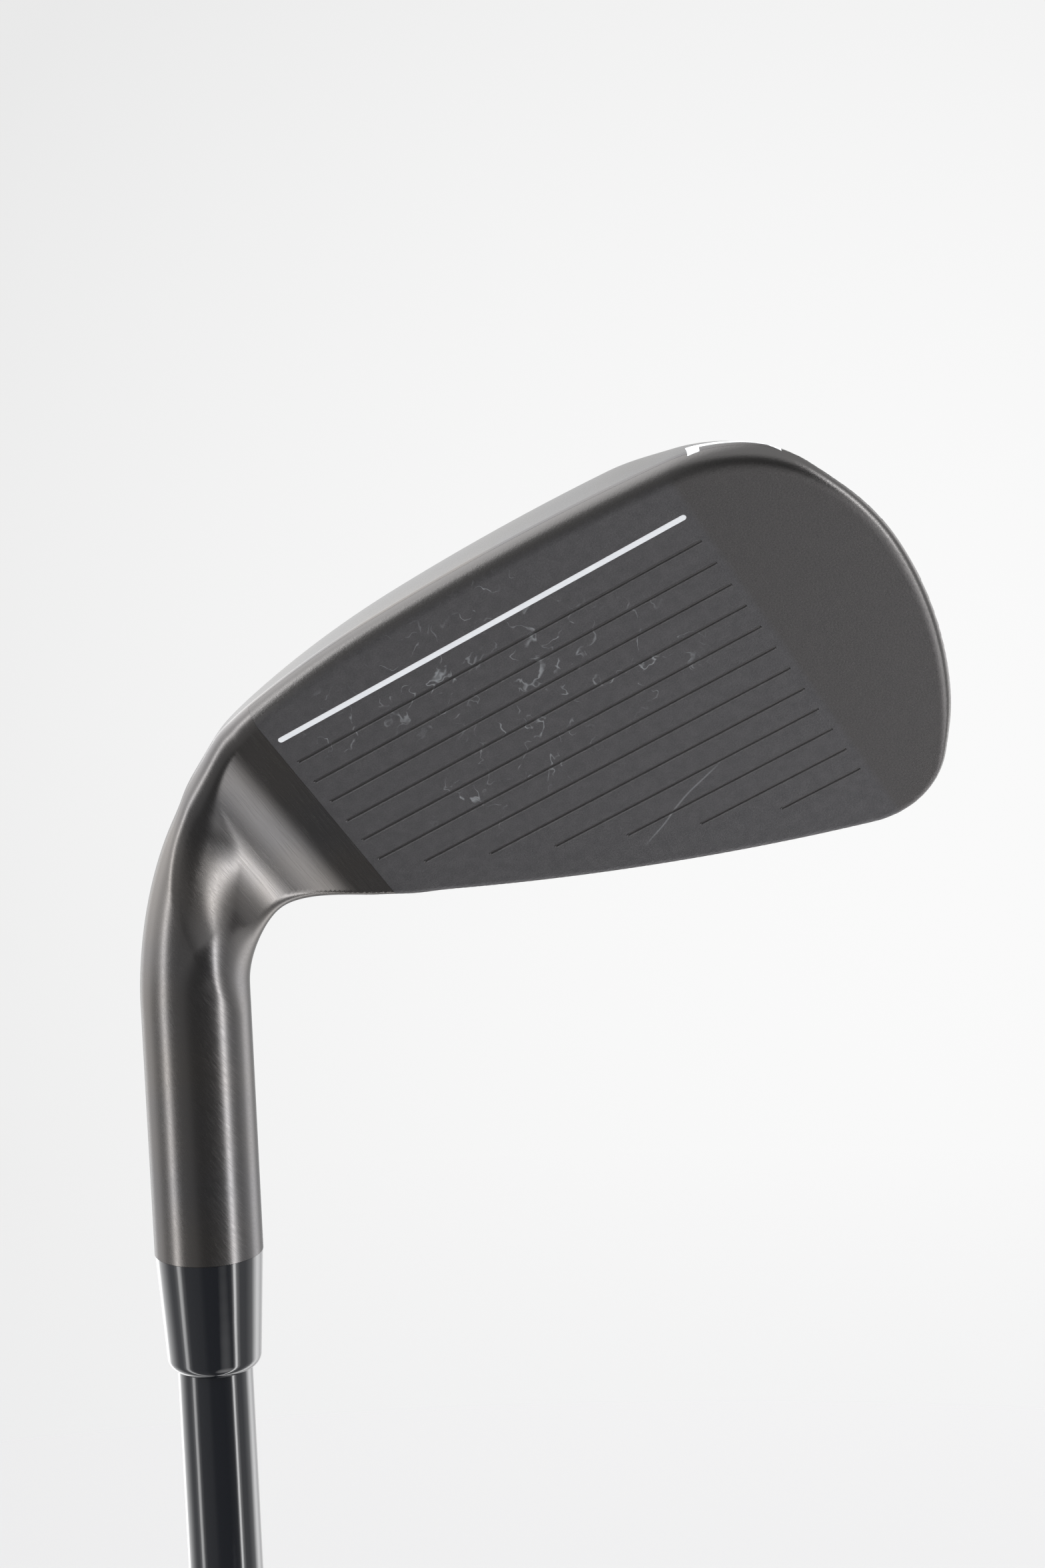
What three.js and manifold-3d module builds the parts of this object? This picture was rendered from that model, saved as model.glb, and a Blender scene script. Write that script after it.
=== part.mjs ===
// Iron golf club, right-handed, 7-iron loft, built as its separate pieces.
//
// Frame: millimetres. The origin is the centre of the grip's butt end, +Z runs along the
// shaft axis from the butt to the head, -Y is the way the face looks (the target), and +X
// is the toe side. The head is drawn in its own group, whose origin is the hosel's end.
import * as THREE from 'three';
import { mergeVertices } from 'three/addons/utils/BufferGeometryUtils.js';
import Module from 'manifold-3d';

const wasm = await Module();
wasm.setup();

const { clamp, degToRad } = THREE.MathUtils;

// ---- driving dimensions -------------------------------------------------------------
const GAP = 0.3;                    // clearance between neighbouring pieces

// Club
const HOSEL_END = 872;              // butt end to the hosel's end, along the shaft
const LIE = degToRad(62.5);         // shaft to the ground
const LOFT = degToRad(29);          // face to the vertical

// Hosel and the heel it bends into
const HOSEL = { radius: 6.75, straight: 31.8, bend: 33.5 };
const BORE = { radius: 5, depth: 34 };

// Face plane: a point on it, the heel end of the first score line, from the hosel's end
const FACE_POINT = new THREE.Vector3(13.15, -0.92, 64.2);

// Outline of the flat face, in face millimetres: s runs heel to toe along the score lines,
// v from the leading edge to the topline. Each arc hands over to the next, tangent, where
// its outward normal reaches the angle given.
const OUTLINE_START = { s: -27, v: 12.3, normal: -140 };
const OUTLINE_ARCS = [
  { radius: 45.8, until: -100.6 },  // heel
  { radius: 125, until: -92.4 },    // leading edge near the heel
  { radius: 321, until: -85.3 },    // leading edge
  { radius: 17.2, until: -21.4 },   // low toe
  { radius: 29.7, until: 1 },       // toe
  { radius: 50.2, until: 34 },      // upper toe
  { radius: 10, until: 106.7 },     // peak of the toe
  { radius: 285, until: 122 },      // topline
];

// Edges and walls of the head
const EDGE = { topline: 0.8, toe: 1.3, leading: 2.3, neck: 4, back: 1.5 };
const WALL = { lean: 0.264, toeLean: 0.17, camber: 0.0075, toplineShare: 0.2 };   // going back
const BACK = { upper: 8.5, sole: 19, muscle: 0.95, blend: 4 };   // depth, and the muscle's slope

// The neck: between two turns of the bend the hosel's round section spreads into the
// blade's, moves back and shifts off the shaft's line. It runs on into the blade by its
// tail, ramped off at the back. The face sweeps up to it in an arc.
const NECK = { from: degToRad(4.3), to: degToRad(61.2), halfWidth: 15.8, halfDepth: 4.5,
  corner: 3.5, shift: 5, back: 5.5, tail: 4, slope: 2, ramp: 9.5, blend: 3 };
const HEEL = { sweepStart: -4.5, sweepRadius: 13, bladeEnd: -15, endBlend: 4 };

// Face cup, its score lines, and the cavity behind it
const CUP = { depth: 1.8, heelS: -1.3 };
const SHELL = 1.8;                  // wall between the cavity and the outside
const CAVITY_HEEL = 2;
const FILLER_GAP = 0.7;             // room the filler leaves all round
const LINE = { pitch: 3.45, length: 56, width: 0.5, depth: 0.3, full: 6 };
const SHORT_LINE_HEELS = [4.6, 12, 19.3, 27.6, 36, 45.4];   // heel ends under the topline
const WHITE_LINE = { v: -0.35, width: 0.75, paintGap: 0.05 };

// What the cavity holds, the port on the muscle, and the badge on the upper back
const TUNGSTEN = { from: [45, -12, 3.5], to: [66, 1, 9.5] };   // its sole side follows the cavity
const PORT = { s: 52, v: 7, radius: 3.7, reach: 5 };
const SCREW = { radius: 3.4, sink: 0.3, length: 3.2, socket: 1.9, socketDepth: 2 };
const BADGE = { inset: 5, heelS: 8, lowV: 18, floor: 7.5, pad: 0.3, plate: 0.7 };

// Digit painted in the sole near the toe. Its top bar crosses the sole, starting at (s, v, d);
// its stem runs toward the toe, from stemTop to stemFoot behind the bar's front end. The
// digit is turned by rise to follow the toe's curve and leans as the sole does there.
const DIGIT = { s: 60.1, v: -6.2, d: 1.5, rise: degToRad(30), lean: degToRad(26),
  height: 10.7, width: 4.6, bar: 1.4, stem: 1.2, stemTop: 1.7, stemFoot: 0.1, floor: 0.5 };

// Ferrule, shaft and grip, measured along the shaft
const FERRULE = { length: 15, hoselRadius: 6.7, noseRadius: 5.9, nose: 1.6 };
const SHAFT = { butt: 4.6, buttRadius: 7.6, taperFrom: 285, taperTo: 780, tipRadius: 4.7,
  tip: 902, bore: 3, buttBore: 6.2 };
const TIP_WEIGHT = { radius: 2.7, length: 14 };
const TAPE = { from: 6, to: 262, thickness: 0.4 };
const GRIP = { mouth: 267, mouthRadius: 9.4, lowRadius: 9.9, midRadius: 11.4, capRadius: 13.3 };
const CAP = { length: 4, vent: 1.2, edge: 1.2 };

// ---- colours ------------------------------------------------------------------------
const LOOKS = {
  black_steel: { color: 0x2b292a, roughness: 0.4, metalness: 0.9 },
  blasted_face: { color: 0x3a393b, roughness: 0.7, metalness: 0.6 },
  white_paint: { color: 0xe9ebee, roughness: 0.5, metalness: 0 },
  gloss_black: { color: 0x08090c, roughness: 0.12, metalness: 0 },
  tungsten: { color: 0x6f6f72, roughness: 0.4, metalness: 1 },
  foam: { color: 0xb9b39a, roughness: 0.9, metalness: 0 },
  badge: { color: 0x1b1b1d, roughness: 0.35, metalness: 0.5 },
  grip_rubber: { color: 0x161616, roughness: 0.85, metalness: 0 },
  tape: { color: 0xcfc9b6, roughness: 0.9, metalness: 0 },
};

// ---- head coordinates ---------------------------------------------------------------
const TOEWARD = new THREE.Vector3(Math.sin(LIE), 0, Math.cos(LIE));
const UPFACE = new THREE.Vector3(
  Math.cos(LOFT) * Math.cos(LIE), Math.sin(LOFT), -Math.cos(LOFT) * Math.sin(LIE));
const INWARD = new THREE.Vector3().crossVectors(TOEWARD, UPFACE);   // from the face into the head
const FACE_FRAME = new THREE.Matrix4().makeBasis(TOEWARD, UPFACE, INWARD).setPosition(FACE_POINT);
const TO_FACE = FACE_FRAME.clone().invert();

const smoothstep = (t) => {
  const c = clamp(t, 0, 1);
  return c * c * (3 - 2 * c);
};

// Union of two distances, blended over k
function smoothUnion(a, b, k) {
  const h = Math.max(k - Math.abs(a - b), 0) / k;
  return Math.min(a, b) - h * h * h * k / 6;
}

// Intersection of two distances with a round edge of radius r
function roundEdge(a, b, r) {
  return Math.min(Math.max(a, b), -r) + Math.hypot(Math.max(a + r, 0), Math.max(b + r, 0));
}

// The outline's arcs with their centres, each starting where the last one ends
function outlineArcs() {
  const arcs = [];
  let from = degToRad(OUTLINE_START.normal);
  let { s, v } = OUTLINE_START;
  for (const { radius, until } of OUTLINE_ARCS) {
    const to = degToRad(until);
    const centre = { s: s - radius * Math.cos(from), v: v - radius * Math.sin(from) };
    arcs.push({ centre, radius, middle: (from + to) / 2, half: (to - from) / 2 });
    s = centre.s + radius * Math.cos(to);
    v = centre.v + radius * Math.sin(to);
    from = to;
  }
  return arcs;
}
const ARCS = outlineArcs();

// Distance to the outline, negative inside: the furthest of the arcs' tangent lines
function outlineDistance(s, v) {
  let most = -Infinity;
  for (const { centre, radius, middle, half } of ARCS) {
    const turn = Math.atan2(v - centre.v, s - centre.s) - middle;
    const off = Math.abs(Math.atan2(Math.sin(turn), Math.cos(turn)));
    const reach = Math.hypot(s - centre.s, v - centre.v) * Math.cos(Math.max(off - half, 0));
    most = Math.max(most, reach - radius);
  }
  return most;
}

// The hosel, a round bar that bends through the lie angle, while its section spreads and
// twists into the blade's, and runs on inside the blade
function hoselDistance(p) {
  const turn = clamp(Math.atan2(p.z - HOSEL.straight, HOSEL.bend - p.x), 0, LIE);
  const x = p.x - HOSEL.bend * (1 - Math.cos(turn));
  const z = p.z - HOSEL.straight - HOSEL.bend * Math.sin(turn);
  const spread = smoothstep((turn - NECK.from) / (NECK.to - NECK.from));
  const twist = LOFT * spread;
  const outward = z * Math.sin(turn) - x * Math.cos(turn);
  const behind = p.y - NECK.back * spread;
  const across = Math.cos(twist) * outward - Math.sin(twist) * behind + NECK.shift * spread;
  const deep = Math.sin(twist) * outward + Math.cos(twist) * behind;
  const corner = HOSEL.radius + (NECK.corner - HOSEL.radius) * spread;
  const wide = Math.abs(across) - (NECK.halfWidth - NECK.corner) * spread;
  const thick = Math.abs(deep) - (NECK.halfDepth - NECK.corner) * spread;
  const outside = Math.hypot(Math.max(wide, 0), Math.max(thick, 0));
  const bar = outside + Math.min(Math.max(wide, thick), 0) - corner;
  if (turn < LIE) return bar;
  const past = x * TOEWARD.x + z * TOEWARD.z;
  const ramp = (past + NECK.slope * deep - NECK.ramp) / Math.hypot(1, NECK.slope);
  return Math.max(bar, past - NECK.tail, ramp);
}

// How far a point of the face plane belongs to the topline rather than the sole and toe
const toplineShare = (s, v) => smoothstep((v - 10 - 0.4 * s) / 12);

// Radius of the edge between the flat face and the walls
function rimRadius(s, v) {
  const rim = EDGE.toe + (EDGE.topline - EDGE.toe) * toplineShare(s, v);
  return rim + (EDGE.leading - EDGE.toe) * smoothstep((6 - v) / 10) * smoothstep((s + 14) / 8);
}

// The same radius, growing where the face sweeps into the hosel
function edgeRadius(s, v) {
  const rim = rimRadius(s, v);
  return rim + (EDGE.neck - rim) * smoothstep((HEEL.sweepStart + 1 - s) / 11);
}

// The blade: the outline carried back from the face with crowned walls, and its back
function bladeDistance(s, v, d) {
  const rim = rimRadius(s, v);
  const back = Math.max(d - rim, 0);
  const share = 1 - (1 - WALL.toplineShare) * toplineShare(s, v);
  const lean = WALL.lean + WALL.toeLean * smoothstep((s - 48) / 18);
  const rise = lean * back + WALL.camber * back * back;
  const slope = share * (lean + 2 * WALL.camber * back);
  const wall = (outlineDistance(s, v) - rim + share * rise) / Math.hypot(1, slope);
  const upper = d - BACK.upper;
  const muscle = (d - BACK.sole + BACK.muscle * v) / Math.hypot(1, BACK.muscle);
  const blade = roundEdge(wall, smoothUnion(upper, muscle, BACK.blend), EDGE.back);
  return -smoothUnion(-blade, s - HEEL.bladeEnd, HEEL.endBlend);
}

// Signed distance to the head's skin, from its own frame; the face is exactly flat
const local = new THREE.Vector3();
function headDistance(p) {
  local.copy(p).applyMatrix4(TO_FACE);
  const { x: s, y: v, z: d } = local;
  const front = roundEdge(HEEL.sweepStart - HEEL.sweepRadius - s, d, HEEL.sweepRadius);
  const body = smoothUnion(hoselDistance(p), bladeDistance(s, v, d), NECK.blend);
  return roundEdge(body, -front, edgeRadius(s, v));
}

// ---- solids from formulas and from three.js shapes ------------------------------------
function toSolid(geometry) {
  const bare = geometry.clone();
  bare.deleteAttribute('normal');
  bare.deleteAttribute('uv');
  const merged = mergeVertices(bare, 1e-4);
  return new wasm.Manifold(new wasm.Mesh({
    numProp: 3,
    vertProperties: new Float32Array(merged.attributes.position.array),
    triVerts: new Uint32Array(merged.index.array),
  }));
}

// The solid's mesh, without the slivers that cutting leaves
function toGeometry(solid) {
  const mesh = solid.simplify(0.005).getMesh();
  const geometry = new THREE.BufferGeometry();
  geometry.setAttribute('position', new THREE.BufferAttribute(mesh.vertProperties, 3));
  geometry.setIndex(new THREE.BufferAttribute(mesh.triVerts, 1));
  geometry.computeVertexNormals();
  return geometry;
}

// A box in face coordinates from one corner to the other
function faceBox(from, to) {
  const size = to.map((value, i) => value - from[i]);
  const box = new THREE.BoxGeometry(...size);
  box.translate(...from.map((value, i) => value + size[i] / 2));
  return box.applyMatrix4(FACE_FRAME);
}

// Closed skin of the points where distance(p) < 0, on a grid of cubes laid along the face
// axes: one corner in each cube that the skin crosses, moved on to the skin.
function skin(distance, low, high, step) {
  const count = low.map((value, i) => Math.ceil((high[i] - value) / step) + 1);
  const at = (i, j, k) => (k * count[1] + j) * count[0] + i;
  const corner = (i, j, k) => new THREE.Vector3(
    low[0] + i * step, low[1] + j * step, low[2] + k * step).applyMatrix4(FACE_FRAME);
  const value = new Float32Array(count[0] * count[1] * count[2]);
  for (let k = 0; k < count[2]; k++)
    for (let j = 0; j < count[1]; j++)
      for (let i = 0; i < count[0]; i++) value[at(i, j, k)] = distance(corner(i, j, k));

  const points = [];
  const cell = new Map();
  const pointOf = (i, j, k) => {
    const key = at(i, j, k);
    if (cell.has(key)) return cell.get(key);
    const sum = new THREE.Vector3();
    let crossings = 0;
    for (let edge = 0; edge < 12; edge++) {
      const axis = edge >> 2;
      const from = [0, 0, 0];
      from[(axis + 1) % 3] = edge & 1;
      from[(axis + 2) % 3] = (edge >> 1) & 1;
      const to = [...from];
      to[axis] = 1;
      const a = value[at(i + from[0], j + from[1], k + from[2])];
      const b = value[at(i + to[0], j + to[1], k + to[2])];
      if (a < 0 === b < 0) continue;
      const start = corner(i + from[0], j + from[1], k + from[2]);
      const stop = corner(i + to[0], j + to[1], k + to[2]);
      sum.add(start.lerp(stop, a / (a - b)));
      crossings++;
    }
    const point = ontoSkin(distance, sum.divideScalar(crossings));
    cell.set(key, points.length / 3);
    points.push(point.x, point.y, point.z);
    return cell.get(key);
  };

  const index = [];
  for (let k = 1; k < count[2] - 1; k++)
    for (let j = 1; j < count[1] - 1; j++)
      for (let i = 1; i < count[0] - 1; i++) {
        const here = value[at(i, j, k)] < 0;
        const next = [value[at(i + 1, j, k)], value[at(i, j + 1, k)], value[at(i, j, k + 1)]];
        for (let axis = 0; axis < 3; axis++) {
          if (here === next[axis] < 0) continue;
          const b = [0, 0, 0];
          const c = [0, 0, 0];
          b[(axis + 1) % 3] = 1;
          c[(axis + 2) % 3] = 1;
          const ring = [
            pointOf(i - b[0] - c[0], j - b[1] - c[1], k - b[2] - c[2]),
            pointOf(i - c[0], j - c[1], k - c[2]),
            pointOf(i, j, k),
            pointOf(i - b[0], j - b[1], k - b[2]),
          ];
          if (!here) ring.reverse();
          index.push(ring[0], ring[1], ring[2], ring[0], ring[2], ring[3]);
        }
      }
  const geometry = new THREE.BufferGeometry();
  geometry.setAttribute('position', new THREE.Float32BufferAttribute(points, 3));
  geometry.setIndex(index);
  return geometry;
}

// Steps a point along the distance's slope until it lies on the skin
function ontoSkin(distance, point) {
  const small = 0.05;
  for (let round = 0; round < 4; round++) {
    const here = distance(point);
    const slope = new THREE.Vector3();
    for (const axis of ['x', 'y', 'z']) {
      const ahead = point.clone();
      ahead[axis] += small;
      slope[axis] = (distance(ahead) - here) / small;
    }
    point.addScaledVector(slope, -here / Math.max(slope.lengthSq(), 0.2));
  }
  return point;
}

// ---- head ----------------------------------------------------------------------------
const SKIN_STEP = 2.2;
const INSIDE_STEP = 3;
const FAR = 90;                     // past the head's ends
const LOW = [-62, -14, -42];        // the grid's corners in face coordinates
const HIGH = [80, 74, 24];
const deepInBlade = (inset) => (p) => Math.max(
  headDistance(p) + inset, CAVITY_HEEL + inset - SHELL - local.copy(p).applyMatrix4(TO_FACE).x);

function stadium(s, v, length, radius) {
  const shape = new THREE.Shape();
  shape.absarc(s + length, v, radius, -Math.PI / 2, Math.PI / 2, false);
  shape.absarc(s, v, radius, Math.PI / 2, 3 * Math.PI / 2, false);
  return shape;
}

// A flat outline on the face plane carried from depth d0 to d1
function faceExtrusion(shape, d0, d1, curveSegments = 4) {
  const geometry = new THREE.ExtrudeGeometry(
    shape, { depth: d1 - d0, bevelEnabled: false, curveSegments });
  return geometry.translate(0, 0, d0).applyMatrix4(FACE_FRAME);
}

// A score line's slot from its heel end, cut from a little in front of the face
const scoreLine = (heel, v, width = LINE.width) => faceExtrusion(
  stadium(heel, v, LINE.length - heel, width / 2), -1, LINE.depth);

function scoreLines() {
  const lines = [scoreLine(0, WHITE_LINE.v, WHITE_LINE.width)];
  for (let i = 1; i <= LINE.full; i++) lines.push(scoreLine(0, i * LINE.pitch));
  SHORT_LINE_HEELS.forEach((heel, i) =>
    lines.push(scoreLine(heel, (LINE.full + 1 + i) * LINE.pitch)));
  return lines.map(toSolid);
}

// The badge's outline: the head's own outline drawn in, above a straight lower edge
function badgeShape(inset) {
  const points = [];
  for (const { centre, radius, middle, half } of ARCS.slice(5)) {
    const steps = Math.ceil(half * 2 / 0.25);
    for (let i = 0; i <= steps; i++) {
      const angle = middle - half + 2 * half * i / steps;
      const s = centre.s + (radius - inset) * Math.cos(angle);
      const v = centre.v + (radius - inset) * Math.sin(angle);
      if (s > BADGE.heelS + inset && v > BADGE.lowV + inset - BADGE.inset)
        points.push(new THREE.Vector2(s, v));
    }
  }
  points.push(new THREE.Vector2(BADGE.heelS + inset, BADGE.lowV + inset - BADGE.inset));
  points.push(new THREE.Vector2(points[0].x, BADGE.lowV + inset - BADGE.inset));
  return new THREE.Shape(points);
}

// The digit 7 as one outline, grown all round: its top bar along y, its stem toward +x
function digitShape(grow) {
  const { height, width, bar, stem, stemTop, stemFoot } = DIGIT;
  const corners = [
    [-grow, -grow], [bar + grow, -grow], [bar + grow, stemTop - grow],
    [height + grow, stemFoot - grow], [height + grow, stemFoot + stem + grow],
    [bar, width + grow], [-grow, width + grow],
  ];
  return new THREE.Shape(corners.map(([x, y]) => new THREE.Vector2(x, y)));
}

// The digit stood on its floor just under the sole, and carried out past the sole
function digitPrism(grow) {
  const depth = 4;
  const prism = new THREE.ExtrudeGeometry(digitShape(grow), { depth, bevelEnabled: false });
  prism.translate(0, 0, -DIGIT.floor - grow);
  const along = new THREE.Vector3(Math.cos(DIGIT.rise), Math.sin(DIGIT.rise), 0);
  const across = new THREE.Vector3(0, 0, 1).applyAxisAngle(along, -DIGIT.lean);
  const outward = along.clone().cross(across);
  const place = new THREE.Matrix4().makeBasis(along, across, outward)
    .setPosition(DIGIT.s, DIGIT.v, DIGIT.d);
  return toSolid(prism.applyMatrix4(place).applyMatrix4(FACE_FRAME));
}

// A bar square to the muscle's slope, from its surface point going in
function portBar(radius, from, to, sides = 20) {
  const tilt = Math.atan(BACK.muscle);
  const bar = new THREE.CylinderGeometry(radius, radius, to - from, sides);
  bar.translate(0, -(from + to) / 2, 0);
  bar.rotateX(Math.PI / 2 - tilt);
  bar.translate(PORT.s, PORT.v, BACK.sole - BACK.muscle * PORT.v);
  return toSolid(bar.applyMatrix4(FACE_FRAME));
}

// The head as one solid, cut off square at the hosel's end
function headBlank() {
  const past = 3;
  const end = new THREE.BoxGeometry(60, 60, 20).translate(0, 0, -10);
  const long = (p) => Math.max(headDistance(p), -past - p.z);
  return toSolid(skin(long, LOW, HIGH, SKIN_STEP)).subtract(toSolid(end));
}

function hoselBore() {
  const past = 5;
  const bore = new THREE.CylinderGeometry(BORE.radius, BORE.radius, BORE.depth + past, 24);
  return toSolid(bore.rotateX(Math.PI / 2).translate(0, 0, (BORE.depth - past) / 2));
}

// Everything toeward of the cup's heel edge, from far in front of the face to its depth
const cupBlock = (gap) => toSolid(
  faceBox([CUP.heelS - gap, -FAR, -FAR], [FAR, FAR, CUP.depth + gap]));

function makeCup(whole) {
  const cuts = [...scoreLines(), digitPrism(WHITE_LINE.paintGap)];
  return wasm.Manifold.difference([whole.intersect(cupBlock(0)), ...cuts]);
}

function makeBody(whole) {
  const cavity = toSolid(skin(deepInBlade(SHELL), LOW, HIGH, INSIDE_STEP));
  const recess = toSolid(faceExtrusion(badgeShape(BADGE.inset), BADGE.floor, FAR));
  const port = portBar(PORT.radius, -PORT.reach, PORT.reach);
  const cuts = [cupBlock(GAP), cavity, hoselBore(), recess, port, digitPrism(WHITE_LINE.paintGap)];
  return wasm.Manifold.difference([whole, ...cuts]);
}

// The filler and the weight set into it, as [filler, weight]
function makeFilling() {
  const filling = toSolid(skin(deepInBlade(SHELL + FILLER_GAP), LOW, HIGH, INSIDE_STEP));
  const room = faceBox(
    TUNGSTEN.from.map((value) => value - GAP), TUNGSTEN.to.map((value) => value + GAP));
  const port = portBar(PORT.radius, -PORT.reach, PORT.reach);
  const weight = filling.intersect(toSolid(faceBox(TUNGSTEN.from, TUNGSTEN.to)));
  return [filling.subtract(toSolid(room)).subtract(port), weight];
}

function makeScrew() {
  const socket = portBar(SCREW.socket, -1, SCREW.sink + SCREW.socketDepth, 6);
  return portBar(SCREW.radius, SCREW.sink, SCREW.sink + SCREW.length).subtract(socket);
}

// The badge and its pad lie in the recess one behind the other
function badgeLayer(from, thickness) {
  const shape = badgeShape(BADGE.inset + GAP);
  return toSolid(faceExtrusion(shape, from, from + thickness));
}

// The white line's paint fills its slot up to just under the face
function linePaint() {
  const { paintGap, v, width } = WHITE_LINE;
  const slot = stadium(0, v, LINE.length, width / 2 - paintGap);
  return toSolid(faceExtrusion(slot, 0, LINE.depth - paintGap));
}

function makeHead() {
  const whole = headBlank();
  const [filler, weight] = makeFilling();
  const padFrom = BADGE.floor + GAP;
  const plateFrom = padFrom + BADGE.pad + GAP;
  return {
    head_body: [makeBody(whole), LOOKS.black_steel],
    face_cup: [makeCup(whole), LOOKS.blasted_face],
    cavity_filler: [filler, LOOKS.foam],
    tungsten_weight: [weight, LOOKS.tungsten],
    port_screw: [makeScrew(), LOOKS.black_steel],
    damping_pad: [badgeLayer(padFrom, BADGE.pad), LOOKS.tape],
    back_badge: [badgeLayer(plateFrom, BADGE.plate), LOOKS.badge],
    score_line_paint: [linePaint(), LOOKS.white_paint],
    sole_digit_paint: [whole.intersect(digitPrism(0)), LOOKS.white_paint],
  };
}

// ---- ferrule, shaft and grip -----------------------------------------------------------
const SIDES = 32;

// A ring turned round the shaft axis from its closed profile of [radius, z] points
function turned(profile, sides = SIDES) {
  const points = [...profile, profile[0]].map(([radius, z]) => new THREE.Vector2(radius, z));
  return new THREE.LatheGeometry(points, sides).rotateX(Math.PI / 2);
}

const gripBoreRadius = SHAFT.buttRadius + 2 * GAP + TAPE.thickness;

function makeFerrule() {
  const { length, hoselRadius, noseRadius, nose } = FERRULE;
  const bore = SHAFT.tipRadius + GAP;
  const top = HOSEL_END - GAP;
  const profile = [[bore, top], [hoselRadius, top]];
  const steps = 5;
  for (let i = 0; i <= steps; i++) {
    const angle = i / steps * Math.PI / 2;
    const radius = noseRadius - nose + nose * Math.cos(angle);
    profile.push([radius, top - length + nose * (1 - Math.sin(angle))]);
  }
  profile.push([bore, top - length]);
  return turned(profile.reverse());
}

function makeShaft() {
  const { butt, buttRadius, taperFrom, taperTo, tipRadius, tip, bore, buttBore } = SHAFT;
  return turned([
    [buttBore, butt], [buttRadius, butt], [buttRadius, taperFrom], [tipRadius, taperTo],
    [tipRadius, tip], [bore, tip], [bore, taperTo], [buttBore, taperFrom],
  ]);
}

function makeTape() {
  const inner = SHAFT.buttRadius + GAP;
  const outer = inner + TAPE.thickness;
  return turned([[inner, TAPE.from], [outer, TAPE.from], [outer, TAPE.to], [inner, TAPE.to]]);
}

function makeGrip() {
  const { mouth, mouthRadius, lowRadius, midRadius, capRadius } = GRIP;
  const from = CAP.length + GAP;
  return turned([
    [gripBoreRadius, from], [capRadius, from], [capRadius - 0.3, from + 8],
    [midRadius + 0.6, from + 30], [midRadius, from + 75], [lowRadius, mouth - 10],
    [mouthRadius, mouth], [mouthRadius - 0.5, mouth], [gripBoreRadius, mouth - 3],
  ]);
}

function makeCap() {
  const { length, vent, edge } = CAP;
  const { capRadius } = GRIP;
  return turned([
    [vent, 0], [capRadius - edge, 0], [capRadius, edge], [capRadius, length], [vent, length],
  ]);
}

function makeTipWeight() {
  const { radius, length } = TIP_WEIGHT;
  const bar = new THREE.CylinderGeometry(radius, radius, length, 20).rotateX(Math.PI / 2);
  return bar.translate(0, 0, SHAFT.tip - length / 2);
}

// ---- the club ------------------------------------------------------------------------
function addMesh(parent, name, geometry, look) {
  const mesh = new THREE.Mesh(geometry, new THREE.MeshStandardMaterial(look));
  mesh.name = name;
  parent.add(mesh);
}

const club = new THREE.Group();
const headGroup = new THREE.Group();
headGroup.position.z = HOSEL_END;
club.add(headGroup);
for (const [name, [solid, look]] of Object.entries(makeHead()))
  addMesh(headGroup, name, toGeometry(solid), look);
addMesh(club, 'ferrule', makeFerrule(), LOOKS.gloss_black);
addMesh(club, 'shaft', makeShaft(), LOOKS.gloss_black);
addMesh(club, 'tip_weight', makeTipWeight(), LOOKS.tungsten);
addMesh(club, 'grip_tape', makeTape(), LOOKS.tape);
addMesh(club, 'grip', makeGrip(), LOOKS.grip_rubber);
addMesh(club, 'grip_cap', makeCap(), LOOKS.grip_rubber);
export default club;
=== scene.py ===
# Iron golf club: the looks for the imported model, in metres, in the CAD's own frame.
# The origin is the centre of the grip's butt end, +Z runs up the shaft to the head, -Y is
# the way the face looks, and +X is the toe side.
import math

import bpy
import numpy as np
from mathutils import Matrix, Vector


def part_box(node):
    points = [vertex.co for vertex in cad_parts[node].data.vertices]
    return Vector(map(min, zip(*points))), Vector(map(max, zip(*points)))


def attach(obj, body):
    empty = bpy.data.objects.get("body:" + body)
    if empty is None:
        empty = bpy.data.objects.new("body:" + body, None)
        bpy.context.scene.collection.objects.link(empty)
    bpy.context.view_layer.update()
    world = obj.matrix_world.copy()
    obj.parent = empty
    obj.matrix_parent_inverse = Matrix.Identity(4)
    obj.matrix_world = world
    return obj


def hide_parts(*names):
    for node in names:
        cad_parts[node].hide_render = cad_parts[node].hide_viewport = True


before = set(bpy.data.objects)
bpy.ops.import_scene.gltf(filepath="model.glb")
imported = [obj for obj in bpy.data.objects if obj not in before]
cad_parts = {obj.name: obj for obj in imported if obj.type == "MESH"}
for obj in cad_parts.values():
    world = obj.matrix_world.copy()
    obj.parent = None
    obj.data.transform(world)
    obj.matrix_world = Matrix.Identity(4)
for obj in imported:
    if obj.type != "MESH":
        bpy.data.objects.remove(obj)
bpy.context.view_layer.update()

MM = 0.001
ROOT = "root"

# ---- the place that the frame gives ---------------------------------------------------
SEAM = 0.3                                       # mm, the CAD's clearance between pieces
FERRULE_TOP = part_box("ferrule")[1].z
HOSEL_END = round(FERRULE_TOP / MM + SEAM, 3)    # mm, butt to the hosel's end

# ---- camera ---------------------------------------------------------------------------
CAMERA_AT = Vector((0.12811, -0.33813, 0.98878))
CAMERA_AZIMUTH, CAMERA_ELEVATION, CAMERA_ROLL = 14.23, 9.38, -2.0   # degrees
CAMERA_LENS = 68.82                               # mm on a 36 mm long side


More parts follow.
